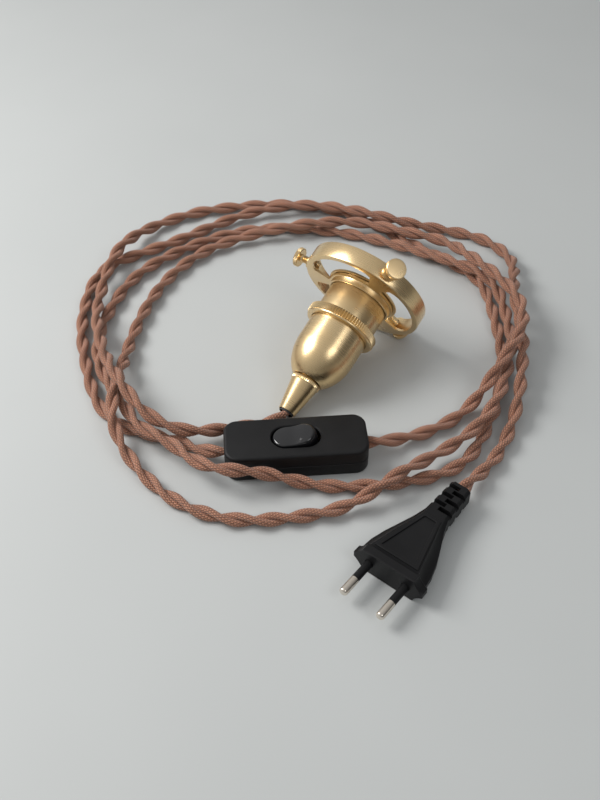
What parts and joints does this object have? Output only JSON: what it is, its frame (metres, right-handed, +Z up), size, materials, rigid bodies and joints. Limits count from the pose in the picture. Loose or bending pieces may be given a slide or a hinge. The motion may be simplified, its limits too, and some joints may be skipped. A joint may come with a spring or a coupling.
{
  "type": "lamp cord set",
  "caption": "Brass lampholder with shade gallery, twisted textile cord, in-line rocker switch and flat plug.",
  "frame": {"origin": "middle of the in-line switch's base, on the table", "axes": "+X along the switch towards its lamp end, +Y across the switch towards the lampholder, +Z up"},
  "size_m": [0.2443, 0.2977, 0.0688],
  "materials": {
    "satin_brass": "satin",
    "contact_brass": "satin",
    "zinc_steel": "satin",
    "nickel": "polished",
    "matte_black": "matte",
    "gloss_black": "gloss",
    "black_rubber": "matte",
    "white_ceramic": "gloss",
    "copper_braid": "woven"
  },
  "bodies": {
    "set": {"clamp_screw_1": "zinc_steel", "clamp_screw_2": "zinc_steel", "clamp_screw_3": "zinc_steel", "clamp_screw_4": "zinc_steel", "cord_clamp_left": "matte_black", "cord_clamp_right": "matte_black", "cord_grip": "satin_brass", "cord_insert": "black_rubber", "dome_cap": "satin_brass", "gallery": "satin_brass", "holder_terminal_screw_1": "zinc_steel", "holder_terminal_screw_2": "zinc_steel", "housing_screw_1": "zinc_steel", "housing_screw_2": "zinc_steel", "insulator": "white_ceramic", "lamp_cord": "copper_braid", "live_terminal": "contact_brass", "load_terminal": "contact_brass", "lock_nut": "zinc_steel", "lower_housing": "matte_black", "neutral_link": "contact_brass", "outer_sleeve": "satin_brass", "pin_carrier": "matte_black", "pin_sleeve_1": "matte_black", "pin_sleeve_2": "matte_black", "plug_body": "matte_black", "plug_cord": "copper_braid", "plug_pin_1": "nickel", "plug_pin_2": "nickel", "rocker_pin": "zinc_steel", "screw_shell": "contact_brass", "terminal_screw_1": "zinc_steel", "terminal_screw_2": "zinc_steel", "terminal_screw_3": "zinc_steel", "terminal_screw_4": "zinc_steel", "threaded_nipple": "contact_brass", "upper_housing": "matte_black"},
    "rocker_body": {"rocker": "gloss_black", "contact_plunger": "matte_black", "plunger_spring": "zinc_steel"},
    "rocking_contact_body": {"rocking_contact": "contact_brass"},
    "union_ring_body": {"union_ring": "satin_brass"},
    "gallery_nut_body": {"gallery_nut": "satin_brass"},
    "centre_contact_body": {"centre_contact": "contact_brass"},
    "thumbscrew_1_body": {"thumbscrew_1": "satin_brass"},
    "thumbscrew_2_body": {"thumbscrew_2": "satin_brass"},
    "thumbscrew_3_body": {"thumbscrew_3": "satin_brass"}
  },
  "joints": [
    {"name": "rocker_hinge", "type": "hinge", "parent": "set", "child": "rocker_body", "pos_m": [0, 0, 0.0105], "axis": [0, 1, 0], "range_deg": [0, 22]},
    {"name": "seesaw_hinge", "type": "hinge", "parent": "set", "child": "rocking_contact_body", "pos_m": [0, 0, 0.0033], "axis": [0, 1, 0], "range_deg": [-10, 0]},
    {"name": "union_turn", "type": "hinge", "parent": "set", "child": "union_ring_body", "pos_m": [0.02778, 0.06296, 0.02419], "axis": [0.5843, 0.7139, 0.3859], "range_deg": [0, 720]},
    {"name": "nut_turn", "type": "hinge", "parent": "set", "child": "gallery_nut_body", "pos_m": [0.04181, 0.08009, 0.03345], "axis": [0.5843, 0.7139, 0.3859], "range_deg": [0, 720]},
    {"name": "centre_contact_slide", "type": "slide", "parent": "set", "child": "centre_contact_body", "axis": [-0.5843, -0.7139, -0.3859], "range_m": [0, 0.0015], "stiffness_N_per_m": 400, "springref_m": -0.0005},
    {"name": "thumbscrew_1_slide", "type": "slide", "parent": "set", "child": "thumbscrew_1_body", "axis": [-0.2314, 0.6024, -0.7639], "range_m": [0, 0.0042]},
    {"name": "thumbscrew_2_slide", "type": "slide", "parent": "set", "child": "thumbscrew_2_body", "axis": [0.7893, -0.6104, -0.066], "range_m": [0, 0.0042]},
    {"name": "thumbscrew_3_slide", "type": "slide", "parent": "set", "child": "thumbscrew_3_body", "axis": [0.5579, -0.008, -0.8299], "range_m": [0, 0.0065]}
  ],
  "couplings": [
    {"joint": "seesaw_hinge", "follows": "rocker_hinge", "ratio": -0.4545}
  ]
}
